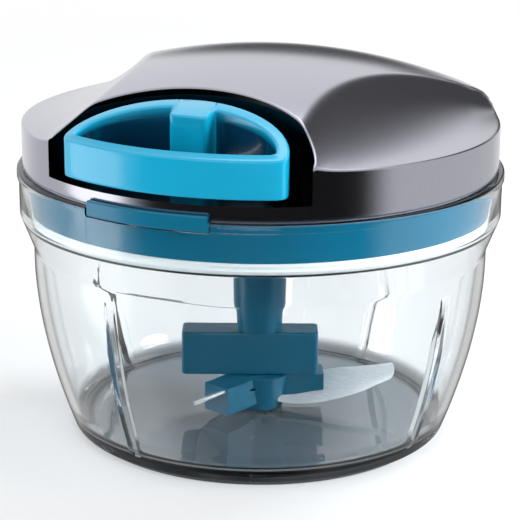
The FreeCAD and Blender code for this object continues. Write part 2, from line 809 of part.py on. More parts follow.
def make_pawl_pins():
    foot_top = pawl_bottom - face_gap
    pins = []
    for turn in (0, 180):
        x, y = pawl_place(turn)
        shank = disc(pawl_pin_radius, foot_top, groove_bottom - pin_skin, x, y)
        foot = disc(pawl_foot_radius, foot_top - pawl_foot_thickness, foot_top, x, y)
        pins.append(joined([shank, foot]))
    return Part.makeCompound(pins)


def make_parts():
    blades = make_blades()
    parts = {
        "bowl": make_bowl(),
        "anti_slip_pad": make_pad(),
        "pivot_pin": make_pivot_pin(),
        "blade_column": make_blade_column(blades),
        "lower_hub": make_lower_hub(blades),
        "pivot_bush": make_pivot_bush(),
        "lid_base": make_lid_base(),
        "lid_gasket": make_gasket(),
        "top_cover": make_top_cover(eyelet_envelope()),
        "case_screws": make_case_screws(),
        "cord_eyelet": make_eyelet(),
        "drum_axle": make_axle(),
        "axle_clip": make_clip(axle_radius, axle_clip_bottom),
        "spring_arbor": make_arbor(),
        "recoil_spring": make_spring(),
        "spindle_bush": make_spindle_bush(),
        "cord_drum": make_drum(),
        "cord_winding": make_winding(),
        "spring_cover": make_spring_cover(),
        "pawl_pins": make_pawl_pins(),
        "first_pawl": make_pawl(0),
        "second_pawl": make_pawl(180),
        "drive_spindle": make_spindle(),
        "thrust_washer": make_washer(),
        "spindle_clip": make_clip(spindle_radius, spindle_clip_bottom),
        "pull_handle": make_handle(),
        "cord_knot": make_knot(),
        "pull_cord": make_cord(),
    }
    parts.update(blades)
    return parts


os.makedirs("parts", exist_ok=True)
for node, shape in make_parts().items():
    shape.exportStep("parts/" + node + ".step")
    print(node, len(shape.Solids), "solid", round(shape.Volume, 1), "mm3", "valid" if shape.isValid() else "INVALID")
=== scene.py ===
import json
import math

import bmesh
import bpy
import numpy as np
from mathutils import Matrix, Vector


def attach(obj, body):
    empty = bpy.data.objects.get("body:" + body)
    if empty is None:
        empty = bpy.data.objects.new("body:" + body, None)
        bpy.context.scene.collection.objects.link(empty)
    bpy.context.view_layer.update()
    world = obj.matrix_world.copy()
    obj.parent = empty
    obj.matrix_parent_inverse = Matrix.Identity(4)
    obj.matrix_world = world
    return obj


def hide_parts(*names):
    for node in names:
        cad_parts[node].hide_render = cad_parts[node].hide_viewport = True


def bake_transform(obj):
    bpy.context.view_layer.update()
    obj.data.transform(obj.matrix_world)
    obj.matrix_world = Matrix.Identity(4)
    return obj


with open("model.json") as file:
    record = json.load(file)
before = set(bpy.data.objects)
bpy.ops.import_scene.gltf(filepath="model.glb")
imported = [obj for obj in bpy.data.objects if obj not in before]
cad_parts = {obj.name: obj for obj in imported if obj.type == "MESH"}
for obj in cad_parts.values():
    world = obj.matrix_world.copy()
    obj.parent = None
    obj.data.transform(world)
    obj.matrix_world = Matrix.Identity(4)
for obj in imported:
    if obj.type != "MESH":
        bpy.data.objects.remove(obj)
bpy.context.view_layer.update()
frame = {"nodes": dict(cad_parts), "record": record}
nodes = frame["nodes"]
scene = bpy.context.scene
scene.view_settings.view_transform = "Standard"
print("frame loaded:", len(nodes), "nodes")

# Lengths below are in millimetres, as on a drawing, and become metres when a mesh is placed.
# Angles round the bowl start at the handle's side, -Y, and grow towards +X.
toMetres = 0.001
mergeWithin, sliverLength = 2e-6, 1e-6  # metres


def polar(radius, angle):
    # the x and y of a place at that radius and angle
    turn = np.radians(angle)
    return radius * np.sin(turn), -radius * np.cos(turn)


def smoothStep(x):
    x = np.clip(x, 0, 1)
    return x * x * (3 - 2 * x)


def towards(azimuth, elevation):
    # the direction from the object to a place round it
    turn, rise = math.radians(azimuth), math.radians(elevation)
    return Vector((math.sin(turn) * math.cos(rise), -math.cos(turn) * math.cos(rise), math.sin(rise)))


def gridFaces(rows, columns, closed):
    # quads between neighbouring rows of a grid of points; closed joins the last column to the first
    k = np.arange(rows - 1)[:, None] * columns + np.arange(columns if closed else columns - 1)[None, :]
    right = (k // columns) * columns + (k % columns + 1) % columns
    return np.stack([k, right, right + columns, k + columns], -1).reshape(-1, 4)


def gridPart(points, closed):
    return points, gridFaces(*points.shape[:2], closed)


def placePiece(name, mesh, body, slotName, node, sharp):
    # the piece stands for the frame's node, and takes the finish of its material slot
    mesh.shade_smooth()
    mesh.set_sharp_from_angle(angle=math.radians(sharp))
    mesh.materials.clear()
    mesh.materials.append(finishes[slotName])
    piece = bpy.data.objects.new(name, mesh)
    scene.collection.objects.link(piece)
    if body:
        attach(piece, body)
    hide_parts(node)
    return piece


def placeMesh(name, parts, body, slotName, node, sharp=38):
    # parts are (points, faces) pairs; doubles are merged, and normals point out of the closed shell
    points, faces, first = [], [], 0
    for grid, quads in parts:
        flat = np.asarray(grid, float).reshape(-1, 3)
        points.append(flat)
        faces += [[int(i) + first for i in face] for face in quads]
        first += len(flat)
    mesh = bpy.data.meshes.new(name)
    mesh.from_pydata((np.concatenate(points) * toMetres).tolist(), [], faces)
    work = bmesh.new()
    work.from_mesh(mesh)
    bmesh.ops.remove_doubles(work, verts=work.verts, dist=mergeWithin)
    bmesh.ops.dissolve_degenerate(work, edges=work.edges, dist=sliverLength)
    bmesh.ops.recalc_face_normals(work, faces=work.faces)
    work.to_mesh(mesh)
    work.free()
    return placePiece(name, mesh, body, slotName, node, sharp)


def readVectors(items, key):
    # one row for each vertex or face
    values = np.empty(len(items) * 3)
    items.foreach_get(key, values)
    return values.reshape(-1, 3)


def markRecessShade(mesh, domain, shares):
    # an attribute that the finishes read for painted shade, from 0 for the plain surface to 1 in a recess
    mesh.attributes.new("recess", "FLOAT", domain).data.foreach_set("value", shares)


def roundedProfile(corners, steps=5):
    # rows of radius, level and fillet become points: each fillet is an arc tangent to the two sides it joins
    corners = np.asarray(corners, float)
    out = []
    for k, (radius, level, fillet) in enumerate(corners):
        here = np.array([radius, level])
        if fillet <= 0 or k in (0, len(corners) - 1):
            out.append(here)
            continue
        back, ahead = corners[k - 1, :2] - here, corners[k + 1, :2] - here
        back, ahead = back / np.linalg.norm(back), ahead / np.linalg.norm(ahead)
        half = math.acos(np.clip(back @ ahead, -1, 1)) / 2
        reach = fillet / math.tan(half)
        share = np.linspace(0, 1, steps)[:, None]
        start, end = here + back * reach, here + ahead * reach
        centre = here + (back + ahead) / np.linalg.norm(back + ahead) * fillet / math.sin(half)
        arm = (start - centre) * (1 - share) + (end - centre) * share
        out += list(centre + arm / np.linalg.norm(arm, axis=1)[:, None] * fillet)
    return np.array(out)


def lathePart(profile, columns=144):
    # a profile of radius and level, carried once round the Z axis
    x, y = polar(profile[:, :1], np.linspace(0, 360, columns, endpoint=False)[None, :])
    return gridPart(np.stack([x, y, np.broadcast_to(profile[:, 1:], x.shape)], -1), True)


# Finishes


def toLinear(hexColour, dim=1.0):
    # sRGB hex to linear red, green and blue, dimmed where a darker shade of it is wanted
    shares = np.array([int(hexColour[k:k + 2], 16) for k in (1, 3, 5)]) / 255
    linear = np.where(shares <= 0.04045, shares / 12.92, ((shares + 0.055) / 1.055) ** 2.4)
    return (*(linear * dim).tolist(), 1.0)


def addNode(tree, kind, settings=None, values=None, links=None):
    node = tree.nodes.new(kind)
    for key, value in (settings or {}).items():
        setattr(node, key, value)
    for key, value in (values or {}).items():
        node.inputs[key].default_value = value
    for key, socket in (links or {}).items():
        tree.links.new(socket, node.inputs[key])
    return node


def feed(tree, socket, value):
    # a number or a colour is set on the socket, and another node's output is linked to it
    if isinstance(value, (int, float, tuple)):
        socket.default_value = value
    else:
        tree.links.new(value, socket)


def doMath(tree, operation, first, second):
    node = addNode(tree, "ShaderNodeMath", {"operation": operation, "use_clamp": True})
    feed(tree, node.inputs[0], first)
    feed(tree, node.inputs[1], second)
    return node.outputs[0]


def mixValues(tree, kind, share, below, above):
    # kind is FLOAT or RGBA
    mix = addNode(tree, "ShaderNodeMix", {"data_type": kind})
    for key, value in (("Factor", share), ("A", below), ("B", above)):
        feed(tree, mix.inputs[key], value)
    return mix.outputs["Result"]


def mixShaders(tree, share, below, above):
    mix = addNode(tree, "ShaderNodeMixShader")
    for k, socket in enumerate((share, below, above)):
        tree.links.new(socket, mix.inputs[k])
    return mix.outputs[0]


def fadeBetween(tree, value, start, end, low=0.0, high=1.0):
    fade = addNode(tree, "ShaderNodeMapRange", {"interpolation_type": "SMOOTHSTEP"},
                   {"From Min": start, "From Max": end, "To Min": low, "To Max": high}, {"Value": value})
    return fade.outputs["Result"]


def measureLength(tree, vector):
    return addNode(tree, "ShaderNodeVectorMath", {"operation": "LENGTH"}, {}, {0: vector}).outputs["Value"]


def addNoise(tree, place, scale, detail):
    return addNode(tree, "ShaderNodeTexNoise", {}, {"Scale": scale, "Detail": detail},
                   {"Vector": place}).outputs["Fac"]


def emboss(tree, shader, height, strength, distance):
    bump = addNode(tree, "ShaderNodeBump", {}, {"Strength": strength, "Distance": distance},
                   {"Height": height})
    tree.links.new(bump.outputs["Normal"], shader.inputs["Normal"])


def roughen(tree, shader, share, low, high):
    rough = addNode(tree, "ShaderNodeMapRange", {}, {"To Min": low, "To Max": high}, {"Value": share})
    tree.links.new(rough.outputs["Result"], shader.inputs["Roughness"])


def paintRecessShade(tree, colour, recessShadeHex):
    # painted shade: the colour gives way to a darker one where the piece's recess attribute asks for it
    recess = addNode(tree, "ShaderNodeAttribute", {"attribute_name": "recess"})
    return mixValues(tree, "RGBA", recess.outputs["Fac"], colour, toLinear(recessShadeHex))


def startFinish(name, values):
    material = bpy.data.materials.new(name)
    material.use_nodes = True
    tree = material.node_tree
    shader = tree.nodes["Principled BSDF"]
    for key, value in values.items():
        shader.inputs[key].default_value = value
    place = addNode(tree, "ShaderNodeTexCoord").outputs["Object"]
    return material, tree, shader, place


def mouldedPlastic(name, hexColour, deepHex, roughness, grain=0.35, coat=0.0, ior=1.53, depth=0.02,
                   recessShadeHex=None):
    # moulded ABS: an even colour that drifts a little through the wall, a fine spark-eroded texture
    # that breaks the gloss up, and painted shade, a deeper tone, in a recess
    material, tree, shader, place = startFinish(name, {
        "IOR": ior, "Coat Weight": coat, "Coat Roughness": 0.06})
    drift = addNoise(tree, place, 28.0, 2.0)
    texture = addNoise(tree, place, 1000 / grain, 2.0)
    colour = mixValues(tree, "RGBA", drift, toLinear(deepHex), toLinear(hexColour))
    if recessShadeHex:
        colour = paintRecessShade(tree, colour, recessShadeHex)
    tree.links.new(colour, shader.inputs["Base Color"])
    roughen(tree, shader, texture, roughness * 0.8, roughness * 1.25)
    emboss(tree, shader, texture, depth, 0.0002)
    return material


# painted shade sets in where the eye looks along a wall, and in the foot's thick corner, standing in for the
# dark that the glass bends and reflects there; in millimetres
clearLook = {
    "edgeFrom": 0.8, "edgeTo": 0.97, "edgeShade": 0.85,
    "footTop": 7.0, "footLow": 3.5, "cornerIn": 43.8, "cornerOut": 45.5, "footShade": 0.55,
}


def clearStyrene():
    # clear SAN, injection moulded and polished: water-clear, with painted shade in grey lines where the eye
    # looks along a wall and in the foot's thick corner, and light passes it on the way to the pieces inside,
    # as it does through a thin wall
    c = clearLook
    material, tree, shader, place = startFinish("clearStyrene", {
        "Base Color": toLinear("#f8fbfc"), "IOR": 1.5, "Transmission Weight": 1.0, "Roughness": 0.015})
    emboss(tree, shader, addNoise(tree, place, 45.0, 1.0), 0.05, 0.0006)
    facing = addNode(tree, "ShaderNodeLayerWeight", {}, {"Blend": 0.5}).outputs["Facing"]
    along = fadeBetween(tree, facing, c["edgeFrom"], c["edgeTo"], high=c["edgeShade"])
    low = addNode(tree, "ShaderNodeSeparateXYZ", {}, {}, {"Vector": place}).outputs["Z"]
    flat = addNode(tree, "ShaderNodeVectorMath", {"operation": "MULTIPLY"}, {1: (1.0, 1.0, 0.0)}, {0: place})
    out = measureLength(tree, flat.outputs["Vector"])
    foot = fadeBetween(tree, low, c["footTop"] * toMetres, c["footLow"] * toMetres, high=c["footShade"])
    corner = fadeBetween(tree, out, c["cornerIn"] * toMetres, c["cornerOut"] * toMetres)
    # painted shade: a grey see-through tint, #3b434c, along grazing walls and in the foot's thick corner
    shadeShare = doMath(tree, "MAXIMUM", along, doMath(tree, "MULTIPLY", foot, corner))
    paintedShade = addNode(tree, "ShaderNodeBsdfTransparent", {}, {"Color": toLinear("#3b434c")})
    edged = mixShaders(tree, shadeShare, shader.outputs[0], paintedShade.outputs[0])
    path = addNode(tree, "ShaderNodeLightPath")
    clear = addNode(tree, "ShaderNodeBsdfTransparent", {}, {"Color": toLinear("#f2f6f8")})
    surface = mixShaders(tree, path.outputs["Is Shadow Ray"], edged, clear.outputs[0])
    tree.links.new(surface, tree.nodes["Material Output"].inputs["Surface"])
    return material


def brushedSteel(name, hexColour, roughness, across=0.12, along=9.0, way=(1.0, 0.0, 0.0), metal=1.0):
    # stainless steel, ground and brushed: fine scratches that run one way and stretch its highlights, and
    # the finest ones scatter light evenly, which is the share that metal leaves
    material, tree, shader, place = startFinish(name, {"Metallic": metal})
    scale = [1000 / (along if run else across) / 3 for run in way]
    mapping = addNode(tree, "ShaderNodeMapping", {}, {"Scale": scale}, {"Vector": place})
    scratch = addNoise(tree, mapping.outputs["Vector"], 1.0, 3.0)
    colour = mixValues(tree, "RGBA", scratch, toLinear(hexColour, dim=0.6), toLinear(hexColour))
    tree.links.new(colour, shader.inputs["Base Color"])
    roughen(tree, shader, scratch, roughness * 0.7, roughness * 1.4)
    emboss(tree, shader, scratch, 0.06, 0.0001)
    return material


def softRubber(name, hexColour, deepHex, roughness):
    # silicone and TPE: matt, a little powdery at the edges, with fine speckle
    material, tree, shader, place = startFinish(name, {"IOR": 1.43, "Sheen Weight": 0.15})
    speckle = addNoise(tree, place, 1600.0, 3.0)
    colour = mixValues(tree, "RGBA", speckle, toLinear(deepHex), toLinear(hexColour))
    tree.links.new(colour, shader.inputs["Base Color"])
    roughen(tree, shader, speckle, roughness * 0.9, roughness * 1.1)
    emboss(tree, shader, speckle, 0.08, 0.0001)
    return material


def braidedCord():
    # braided polyester, 1.8 mm: two sets of yarns cross on the slant, drawn 0.9 mm apart so that they show
    material, tree, shader, place = startFinish("braidedPolyester", {"Roughness": 0.75, "Sheen Weight": 0.3})
    waves = []
    for slant in (0.9, -0.9):
        turned = addNode(tree, "ShaderNodeMapping", {}, {"Rotation": (0.0, 0.0, slant)}, {"Vector": place})
        waves.append(addNode(tree, "ShaderNodeTexWave", {}, {"Scale": 360.0, "Distortion": 0.4},
                             {"Vector": turned.outputs["Vector"]}).outputs["Fac"])
    yarn = addNode(tree, "ShaderNodeMath", {"operation": "MAXIMUM"})
    tree.links.new(waves[0], yarn.inputs[0])
    tree.links.new(waves[1], yarn.inputs[1])
    colour = mixValues(tree, "RGBA", yarn.outputs[0], toLinear("#a9aaa6"), toLinear("#f0efea"))
    tree.links.new(colour, shader.inputs["Base Color"])
    emboss(tree, shader, yarn.outputs[0], 0.5, 0.0002)
    return material


def silverPaint():
    # plastic sprayed with silver lacquer: fine metal flake, nearly as bright as metal, under a clear gloss;
    # the handle's pocket takes painted shade, near black
    material, tree, shader, place = startFinish("silverLacqueredPlastic", {
        "Metallic": 1.0, "Coat Weight": 0.25, "Coat Roughness": 0.06})
    flake = addNoise(tree, place, 2600.0, 2.0)
    colour = mixValues(tree, "RGBA", flake, toLinear("#c0c1cd"), toLinear("#cdcedb"))
    # painted shade: near black where the pocket's recess attribute is set
    tree.links.new(paintRecessShade(tree, colour, "#111418"), shader.inputs["Base Color"])
    roughen(tree, shader, flake, 0.14, 0.22)
    emboss(tree, shader, flake, 0.02, 0.0001)
    return material


finishes = {
    "clear_plastic": clearStyrene(),
    "pale_grey_plastic": silverPaint(),
    # the handle's hole gets painted shade in a deep teal
    "bright_teal_plastic": mouldedPlastic("tealHandleAbs", "#0ba8d0", "#0a9ec6", 0.16, coat=0.8, ior=1.6,
                                          recessShadeHex="#03324c"),
    "teal_plastic": mouldedPlastic("tealLidAbs", "#016a89", "#016281", 0.2, coat=0.25, ior=1.5),
    "dark_teal_plastic": mouldedPlastic("deepTealNylon", "#07556f", "#064d66", 0.3),
    "white_plastic": mouldedPlastic("whiteAcetal", "#e2e4e4", "#dcdedd", 0.4),
    "blade_steel": brushedSteel("groundBladeSteel", "#f6f7f9", 0.34, metal=0.45),
    "steel": brushedSteel("brushedSteel", "#c9ccd1", 0.3, way=(0.0, 0.0, 1.0)),
    "brass": brushedSteel("turnedBrass", "#d8b56a", 0.25, way=(0.0, 0.0, 1.0)),
    "grey_rubber": softRubber("greyTpe", "#4a525b", "#424a53", 0.62),
    "white_rubber": softRubber("whiteSilicone", "#f1f5f5", "#e6ecec", 0.5),
    "white_cord": braidedCord(),
}
slotOf = {row["node"]: row["material_slot"] for row in frame["record"]["subparts"]}
for nodeName, node in nodes.items():
    node.data.materials.clear()
    node.data.materials.append(finishes[slotOf[nodeName]])
print("finishes made:", len(finishes))

# Bowl: one closed skin, its outer wall swelling to the belly, its inner wall carrying four ribs

bowlSize = {
    "foot": 48.4, "belly": 58.6, "bellyLevel": 46.0, "swell": 1.8, "wall": 2.2, "base": 1.5, "floor": 3.7,
    "corner": 4.5, "neck": 49.8, "step": 58.8, "ledge": 57.8, "collar": 62.0, "bore": 60.2, "ledgeIn": 57.6,
    "lip": 62.5, "lipLevel": 68.2, "rim": 70.2, "boss": 4.2, "bossTop": 10.1, "pin": 2.0, "pinEnd": 2.5,
    "ribTurn": -16.0, "ribWidth": 2.4, "ribDepth": 1.8, "ribTop": 45.8, "ribFade": 14.0, "ribFlank": 0.5,
    "ribFoot": 1.2, "ribRadius": 50.0, "ribReach": 2.1, "ribColumns": 15, "columns": 132,
    "notchTurn": -3.3, "notchHalf": 15.16, "notchLevel": 67.8, "notchEdge": 0.02,
}


def bowlWall(level):
    # the outer radius: the belly's, less a power of the share of height left to the belly
    b = bowlSize
    left = np.clip(1 - level / b["bellyLevel"], 0, None)
    return b["belly"] - (b["belly"] - b["foot"]) * left ** b["swell"]


def makeBowl():
    # a profile of radius and level carried round Z; each rib takes its depth off the inner radius,
    # and the locating tab's notch lowers the rim over its own angle
    b = bowlSize
    upLevels = np.linspace(b["base"] + 1.2, b["neck"] - 1.5, 22)
    downLevels = np.linspace(b["neck"] - 1.5, b["floor"] + b["corner"], 26)
    outer = [(0, b["base"], 0), (bowlWall(b["base"]), b["base"], 0.9)]
    outer += [(bowlWall(z), z, 0) for z in upLevels]
    outer += [(b["belly"], b["neck"], 4.0), (b["collar"], b["step"], 1.4), (b["collar"], b["lipLevel"], 0.2),
              (b["lip"], b["lipLevel"], 0.2), (b["lip"], b["rim"], 0.5), (b["bore"], b["rim"], 0.5),
              (b["bore"], b["ledge"], 0.6), (b["ledgeIn"], b["ledge"], 0.6),
              (b["belly"] - b["wall"], b["neck"], 4.0)]
    inner = [(bowlWall(z) - b["wall"], z, 0) for z in downLevels]
    low = bowlWall(b["floor"] + b["corner"]) - b["wall"]
    turn = np.radians(np.linspace(0, 90, 8)[1:])
    inner += [(low - b["corner"] * (1 - math.cos(t)), b["floor"] + b["corner"] * (1 - math.sin(t)), 0)
              for t in turn]
    inner += [(low * 0.6, b["floor"], 0), (b["boss"], b["floor"], 0.8), (b["boss"], b["bossTop"], 0.4),
              (b["pin"], b["bossTop"], 0.2), (b["pin"], b["pinEnd"], 0), (0, b["pinEnd"], 0)]
    start = len(roundedProfile(outer + inner[:2])) - 2
    profile = roundedProfile(outer + inner)
    ribAngles = [b["ribTurn"] + 90 * k for k in range(4)]
    edges = [b["notchTurn"] + side * b["notchHalf"] + step for side in (-1, 1)
             for step in (-b["notchEdge"], b["notchEdge"])]
    spread = np.linspace(-b["ribReach"], b["ribReach"], b["ribColumns"])
    angles = np.concatenate([np.linspace(0, 360, b["columns"], endpoint=False), np.array(edges) % 360] +
                            [(a + spread) % 360 for a in ribAngles])
    angles = np.unique(np.round(angles, 3))
    radius = np.repeat(profile[:, :1], len(angles), 1)
    level = np.repeat(profile[:, 1:], len(angles), 1)
    isWall = np.zeros(len(profile), bool)
    isWall[start:start + len(downLevels) + len(turn)] = True
    fade = smoothStep((b["ribTop"] - profile[:, 1]) / b["ribFade"])
    fade = fade * smoothStep((profile[:, 1] - b["floor"]) / b["ribFoot"]) * isWall
    for a in ribAngles:
        away = (angles - a + 180) % 360 - 180
        side = np.abs(np.radians(away)) * b["ribRadius"]
        bump = smoothStep(((b["ribWidth"] + b["ribFlank"]) / 2 - side) / b["ribFlank"])
        radius -= b["ribDepth"] * fade[:, None] * bump[None, :]
    away = (angles - b["notchTurn"] + 180) % 360 - 180
    cut = np.abs(away) < b["notchHalf"]
    notched = cut[None, :] & (radius > b["ledgeIn"] + 1) & (level > b["notchLevel"])
    level = np.where(notched, b["notchLevel"], level)
    radius = np.where(notched, np.minimum(radius, b["collar"]), radius)
    x, y = polar(radius, angles[None, :])
    points = np.stack([x, y, level], -1)
    placeMesh("clearBowl", [gridPart(points, True)], "bowl", "clear_plastic", "bowl", sharp=50)


# the pad ends 0.02 mm under the bowl, so that the two faces don't fight
padSize = {"outer": 46.7, "footInner": 38.2, "hollow": 0.4, "top": 1.48, "topEdge": 44.6}


def makePad():
    # a shallow disc whose foot ring stands proud underneath, with softened corners
    p = padSize
    profile = roundedProfile([
        (0, p["hollow"], 0), (p["footInner"], p["hollow"], 0.15), (p["footInner"], 0, 0.2),
        (p["outer"], 0, 0.5), (p["outer"], p["top"], 0.3), (p["topEdge"], p["top"], 0), (0, p["top"], 0)])
    placeMesh("antiSlipPad", [lathePart(profile)], "bowl", "grey_rubber", "anti_slip_pad")


makeBowl()
makePad()
print("bowl made")

# Top cover: a shallow dome with two finger scoops, a pocket for the handle and a side wall

coverSize = {
    "rim": 61.0, "wall": 2.2, "base": 70.2, "shoulder": 82.6, "top": 99.0, "dome": 149.615, "round": 2.8,
    "scoopLevel": 82.0, "ridgeHalf": 26.6, "ridgeWaist": -30.0, "ridgeCurve": 78.0, "scoopLeast": 6.0,
    "pocketHalf": 34.0, "pocketLength": 19.3, "pocketCentre": -52.474, "pocketWall": 2.0, "pocketLevel": 74.2,
    "notchTurn": -3.3, "notchHalf": 14.78, "notchLevel": 71.98, "notchEdge": 0.03, "edge": 0.5,
    "roundPower": 2.2, "dropLeast": 0.5, "dropWithin": 0.85, "ridgeBlend": 0.9, "baseEdge": 0.25,
    "baseBevel": 0.07, "boreEdge": 0.2, "recessOut": 0.3, "recessBelow": 0.05, "recessSteep": 0.3,
    "recessRim": 0.1, "mouthColumns": 31, "cornerColumns": 4, "backColumns": 181, "taperColumns": 5,
    "wallRows": 9, "topRows": 46, "pocketPlaces": 4001, "nearMost": 0.02,
    "nearShares": [0, 0.06, 0.2, 0.5, 1.0], "farShares": [0.12, 0.06, 0.03, 0.015, 0.006, 0.0015, 0],
}


def domeLevel(x, y, sink=0.0):
    # a sphere's cap
    c = coverSize
    return c["top"] - sink - c["dome"] + np.sqrt(c["dome"] ** 2 - x * x - y * y)


def smoothMin(a, b, width):
    # the lower of two levels, with the corner between them rounded over width
    h = np.clip(0.5 + 0.5 * (b - a) / width, 0, 1)
    return b * (1 - h) + a * h - width * h * (1 - h)


def coverTop(x, y, inset):
    # the dome, rounded down to the shoulder at its rim, or the scoops where they are lower: each scoop is
    # a parabola across X that falls from the ridge's curved edge and lands level before the rim
    c = coverSize
    rim = c["rim"] - inset
    radius = np.hypot(x, y)
    dome = domeLevel(x, y, inset)
    shoulder = c["shoulder"] - inset
    share = np.clip((radius - rim + c["round"]) / c["round"], 0, 1)
    dome = shoulder + (dome - shoulder) * (1 - share ** c["roundPower"]) ** 0.5
    start = c["ridgeHalf"] + (y - c["ridgeWaist"]) ** 2 / (2 * c["ridgeCurve"])
    free = np.sqrt(np.clip(c["rim"] ** 2 - y * y, 0, None)) - start
    width = (free + np.hypot(free, 2 * c["scoopLeast"])) / 2
    drop = domeLevel(start, np.minimum(np.abs(y), c["rim"] * c["dropWithin"])) - c["scoopLevel"]
    share = (np.abs(x) - start) / width
    fall = np.maximum(drop, c["dropLeast"]) * np.where(share < 1, (1 - share) ** 2, 0)
    level = smoothMin(dome, c["scoopLevel"] + fall - inset, c["ridgeBlend"])
    if inset == 0:
        share = np.clip((radius - rim + c["edge"]) / c["edge"], 0, 1)
        level = level - c["edge"] * (1 - np.sqrt(1 - share ** 2))
    return level


def pocketOutline(inset, count):
    # half an ellipse from the right corner of the mouth round the back to the left, its ends on the rim's
    # circle
    c = coverSize
    wall = c["pocketWall"] if inset else 0
    half, length, rim = c["pocketHalf"] + wall, c["pocketLength"] + wall, c["rim"] - inset
    fine = np.linspace(0, np.pi, c["pocketPlaces"])
    x, y = half * np.cos(fine), c["pocketCentre"] + length * np.sin(fine)
    inside = np.hypot(x, y) <= rim
    x, y = x[inside], y[inside]
    run = np.concatenate([[0], np.cumsum(np.hypot(np.diff(x), np.diff(y)))])
    at = np.linspace(0, run[-1], count)
    x, y = np.interp(at, run, x), np.interp(at, run, y)
    for k in (0, -1):
        scale = rim / math.hypot(x[k], y[k])
        x[k], y[k] = x[k] * scale, y[k] * scale
    return x, y


def cornerAngle(inset):
    # the angle round Z at which the pocket's outline meets the rim
    x, y = pocketOutline(inset, 3)
    return math.degrees(math.atan2(x[0], -y[0]))


def coverSkin(inset, angles, floorLevel):
    # the skin's top between the pocket's edge and the rim, then the pocket's wall and the side, both down to
    # one level; the pocket's edge at that level comes back too, for the floor
    c = coverSize
    rim = c["rim"] - inset
    x, y = pocketOutline(inset, len(angles))
    rimX, rimY = polar(rim, angles)
    run = np.hypot(rimX - x, rimY - y)
    edge = c["edge"] if inset == 0 else 0.0
    column = np.arange(len(angles))
    taper = smoothStep(np.minimum(column, column[::-1]) / c["taperColumns"])
    near, far = np.array(c["nearShares"])[:, None], 1 - np.array(c["farShares"])
    shares = np.concatenate([np.linspace(0, far[0], c["topRows"])[1:-1], far])
    nearRun = np.minimum(near * edge * 2, run[None, :] * near * c["nearMost"])
    away = np.concatenate([nearRun, nearRun[-1] + (run - nearRun[-1]) * shares[:, None]])
    way = np.stack([rimX - x, rimY - y]) / np.maximum(run, 1e-9)
    topX, topY = x + way[0] * away, y + way[1] * away
    topX[-1], topY[-1] = rimX, rimY
    topZ = coverTop(topX, topY, inset)
    if edge:
        share = np.clip(1 - away / edge, 0, 1)
        topZ = topZ - edge * (1 - np.sqrt(1 - share ** 2)) * taper
    parts = [gridPart(np.stack([topX, topY, topZ], -1), False)]
    down = np.linspace(0, 1, c["wallRows"])[:, None]
    for lineX, lineY, lineZ in ((x, y, topZ[0]), (rimX, rimY, topZ[-1])):
        z = lineZ * (1 - down) + floorLevel * down
        wall = np.stack([np.broadcast_to(lineX, z.shape), np.broadcast_to(lineY, z.shape), z], -1)
        parts.append(gridPart(wall, False))
    return parts, np.stack([x, y, np.full_like(x, floorLevel)], -1)


def closeFloor(edge, radius, angles, level):
    # one flat face between the pocket's edge and the arc of the mouth
    arc = np.stack([*polar(radius, angles), np.full(len(angles), level)], -1)
    floor = np.concatenate([edge[::-1], arc])
    return floor, [list(range(len(floor)))]


def coverAngles(corner, innerCorner):
    # the skirt's columns, with a close pair at each side of the tab's notch
    c = coverSize
    notch = [c["notchTurn"] + side * c["notchHalf"] + step for side in (-1, 1)
             for step in (-c["notchEdge"], c["notchEdge"])]
    angles = np.concatenate([
        np.linspace(-corner, corner, c["mouthColumns"]), np.array(notch),
        np.linspace(corner, innerCorner, c["cornerColumns"]),
        np.linspace(innerCorner, 360 - innerCorner, c["backColumns"]),
        np.linspace(360 - innerCorner, 360 - corner, c["cornerColumns"])])
    angles = np.unique(np.round(angles, 5))
    return angles[angles < 360 - corner - 1e-6]


def markPocketShade(mesh):
    # the walls and the floor of the handle's pocket take painted shade
    c = coverSize
    x, y, z = readVectors(mesh.polygons, "center").T / toMetres
    upright = np.abs(readVectors(mesh.polygons, "normal")[:, 2])
    half = c["pocketHalf"] + c["recessOut"]
    share = np.sqrt(np.clip(1 - (x / half) ** 2, 0, 1))
    back = c["pocketCentre"] + c["recessOut"] + c["pocketLength"] * share
    inPlan = (np.abs(x) < half) & (y < back) & (np.hypot(x, y) < c["rim"] - c["recessRim"])
    isFloor = z < c["pocketLevel"] + c["recessBelow"]
    isInside = z > c["pocketLevel"] - c["recessBelow"]
    inPocket = inPlan & isInside & ((upright < c["recessSteep"]) | isFloor)
    markRecessShade(mesh, "FACE", inPocket.astype(float))


